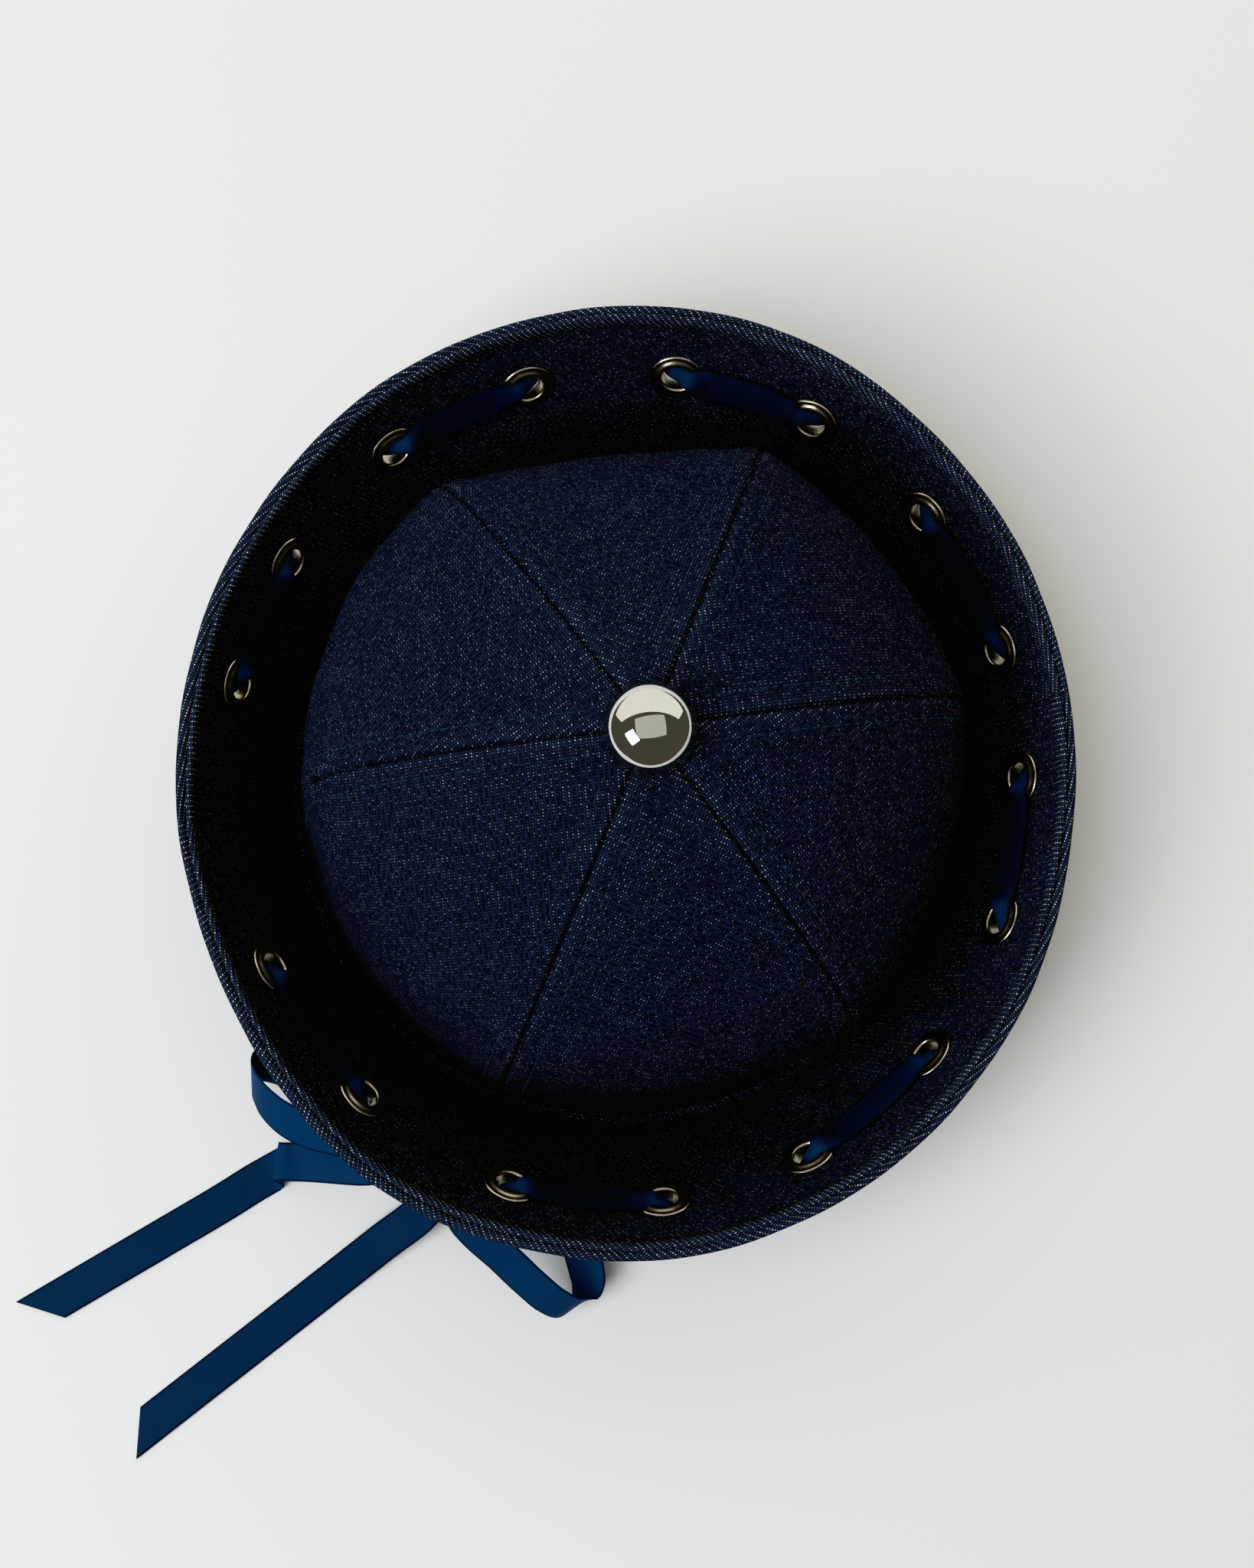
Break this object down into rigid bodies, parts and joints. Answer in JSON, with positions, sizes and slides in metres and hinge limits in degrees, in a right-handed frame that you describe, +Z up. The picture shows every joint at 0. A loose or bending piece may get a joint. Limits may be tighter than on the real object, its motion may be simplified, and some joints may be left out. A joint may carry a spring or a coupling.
{
  "type": "sailor hat",
  "caption": "Dark denim sailor hat with a panelled crown, a turned-up flaring brim laced with blue ribbon through metal eyelets, and a domed button.",
  "frame": {"origin": "on the surface that the hat stands on, under the middle of the brim", "axes": "+Z up, +X to the wearer's side seam on the right of the picture, -Y to the front, with the bow at the front left"},
  "size_m": [0.3131, 0.2988, 0.1131],
  "materials": {
    "denim": "dark indigo twill with pale flecks",
    "eyelet_nickel": "antique nickel, rolled",
    "dome_chrome": "mirror",
    "ribbon": "blue satin with dark edges"
  },
  "bodies": {
    "root": {"crown_panel_1": "denim", "crown_panel_2": "denim", "crown_panel_3": "denim", "crown_panel_4": "denim", "crown_panel_5": "denim", "crown_panel_6": "denim", "brim_front": "denim", "brim_back": "denim", "eyelet_01": "eyelet_nickel", "eyelet_02": "eyelet_nickel", "eyelet_03": "eyelet_nickel", "eyelet_04": "eyelet_nickel", "eyelet_05": "eyelet_nickel", "eyelet_06": "eyelet_nickel", "eyelet_07": "eyelet_nickel", "eyelet_08": "eyelet_nickel", "eyelet_09": "eyelet_nickel", "eyelet_10": "eyelet_nickel", "eyelet_11": "eyelet_nickel", "eyelet_12": "eyelet_nickel", "eyelet_13": "eyelet_nickel", "eyelet_14": "eyelet_nickel", "eyelet_15": "eyelet_nickel", "eyelet_16": "eyelet_nickel", "dome_stud": "dome_chrome", "ribbon_lacing": "ribbon", "bow_knot": "ribbon", "bow_loop_left": "ribbon", "bow_loop_right": "ribbon", "bow_tail_left": "ribbon", "bow_tail_right": "ribbon"}
  },
  "joints": []
}
